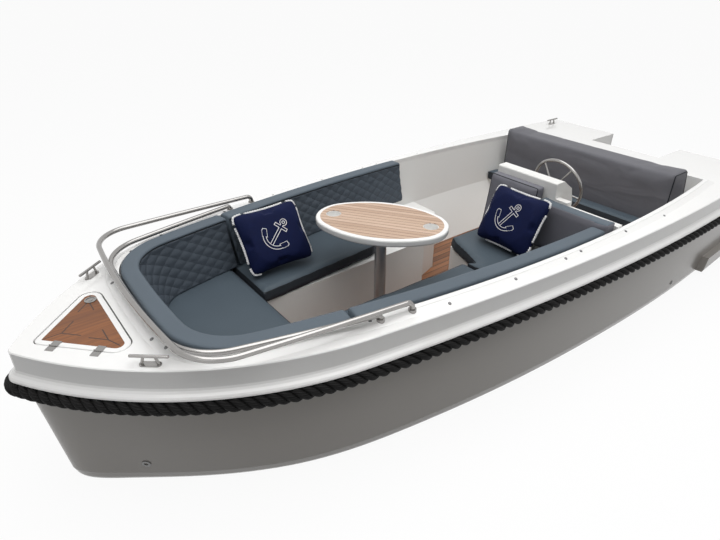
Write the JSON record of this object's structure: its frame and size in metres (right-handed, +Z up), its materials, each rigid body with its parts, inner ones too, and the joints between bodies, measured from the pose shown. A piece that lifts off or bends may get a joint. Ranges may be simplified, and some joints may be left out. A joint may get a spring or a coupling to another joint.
{
  "type": "open tender boat",
  "caption": "Open moulded tender boat with rope fender, raised coaming and guard rails, U-shaped lounge seating, swivel table, helm console with wheel and helm bench.",
  "frame": {"origin": "on the waterline, on the centreline, amidships", "axes": "+X forward, +Y to port, +Z up"},
  "size_m": [4.8539, 2.0154, 1.0925],
  "materials": {
    "hull_gelcoat": "warm grey gelcoat",
    "deck_gelcoat": "white gelcoat",
    "liner_gelcoat": "white gelcoat with a fine non-slip texture",
    "teak": "oiled teak planks with dark caulking",
    "fender_rope": "black three-strand rope",
    "slate_upholstery": "slate grey marine vinyl cloth",
    "stainless": "polished stainless steel",
    "black_plastic": "matt black",
    "table_gelcoat": "white gelcoat",
    "aluminium": "satin anodised",
    "navy_canvas": "navy cotton canvas with white rope piping"
  },
  "bodies": {
    "boat": {"hull": "hull_gelcoat", "keel": "hull_gelcoat", "sponsons": "hull_gelcoat", "deck": "deck_gelcoat", "anchor_locker": "deck_gelcoat", "motor_well": "deck_gelcoat", "liner": "liner_gelcoat", "bench_bases": "liner_gelcoat", "helm_bench_base": "liner_gelcoat", "console": "liner_gelcoat", "helm_bulkhead": "liner_gelcoat", "sole": "teak", "rope_fender": "fender_rope", "bow_seat_cushion": "slate_upholstery", "starboard_seat_cushion": "slate_upholstery", "port_seat_cushion": "slate_upholstery", "aft_seat_cushion": "slate_upholstery", "helm_seat_cushion": "slate_upholstery", "bow_backrest": "slate_upholstery", "starboard_backrest": "slate_upholstery", "port_backrest": "slate_upholstery", "aft_backrest": "slate_upholstery", "console_backrest": "slate_upholstery", "stern_backrest": "slate_upholstery", "deck_hinges": "stainless", "bow_cleats": "stainless", "stern_cleats": "stainless", "upper_rail": "stainless", "lower_rail": "stainless", "skin_fittings": "stainless", "side_vents": "stainless", "steering_boss": "black_plastic", "transom_pad": "black_plastic", "table_socket": "aluminium", "starboard_pillow": "navy_canvas", "port_pillow": "navy_canvas"},
    "locker_lid": {"locker_lid": "deck_gelcoat", "locker_inlay": "teak", "locker_latch": "stainless", "lid_hinges": "stainless"},
    "steering_wheel": {"steering_wheel": "stainless"},
    "table": {"table_top": "table_gelcoat", "table_inlay": "teak", "table_post": "aluminium"}
  },
  "joints": [
    {"name": "locker_lid_hinge", "type": "hinge", "parent": "boat", "child": "locker_lid", "pos_m": [2.17556, 0.13373, 0.75047], "axis": [-0.6904, 0.7234, -0.0093], "range_deg": [0, 100]},
    {"name": "steering", "type": "hinge", "parent": "boat", "child": "steering_wheel", "pos_m": [-0.8, 0.228, 0.742], "axis": [-0.9703, 0, 0.2419], "range_deg": [-540, 540]},
    {"name": "table_swivel", "type": "hinge", "parent": "boat", "child": "table", "pos_m": [0.534, 0, 0.45], "axis": [0, 0, 1], "continuous": true}
  ]
}
